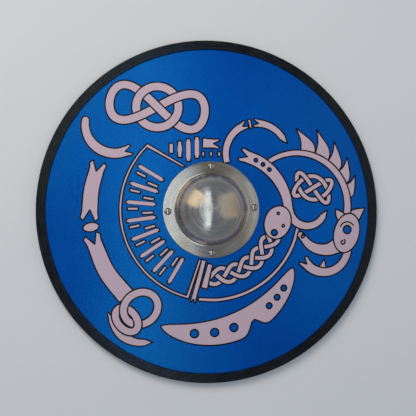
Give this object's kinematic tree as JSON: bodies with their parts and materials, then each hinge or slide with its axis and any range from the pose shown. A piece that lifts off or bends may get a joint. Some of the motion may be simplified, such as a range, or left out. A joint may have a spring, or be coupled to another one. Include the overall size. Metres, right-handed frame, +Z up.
{
  "type": "wooden round shield",
  "caption": "Dished round wooden shield with a leather-edged rim, a hollow spun steel boss over a hand hole, and a wooden grip behind it.",
  "frame": {"origin": "on the floor under the middle of the shield, in the plane of the flattened underside of the leather fold", "axes": "+Z up along the boss's axis, out of the painted face as it lies; +Y to the top of the shield as it is hung; +X to the right of the painted face"},
  "size_m": [0.61, 0.61, 0.0889],
  "materials": {
    "painted_board": "satin blue paint with pale painted knotwork on the face, bare plywood behind",
    "black_leather": "waxed black",
    "spun_steel": "spun, brushed in rings",
    "bright_steel": "polished",
    "oiled_wood": "oiled ash",
    "zinc_steel": "bright zinc plate"
  },
  "bodies": {
    "root": {"board": "painted_board", "edging_left": "black_leather", "edging_short": "black_leather", "edging_right": "black_leather", "boss": "spun_steel", "grip": "oiled_wood", "bolt_right": "bright_steel", "bolt_top": "bright_steel", "bolt_left": "bright_steel", "bolt_bottom": "bright_steel", "washer_right": "zinc_steel", "washer_top": "zinc_steel", "washer_left": "zinc_steel", "washer_bottom": "zinc_steel", "nut_right": "zinc_steel", "nut_top": "zinc_steel", "nut_left": "zinc_steel", "nut_bottom": "zinc_steel"}
  },
  "joints": []
}
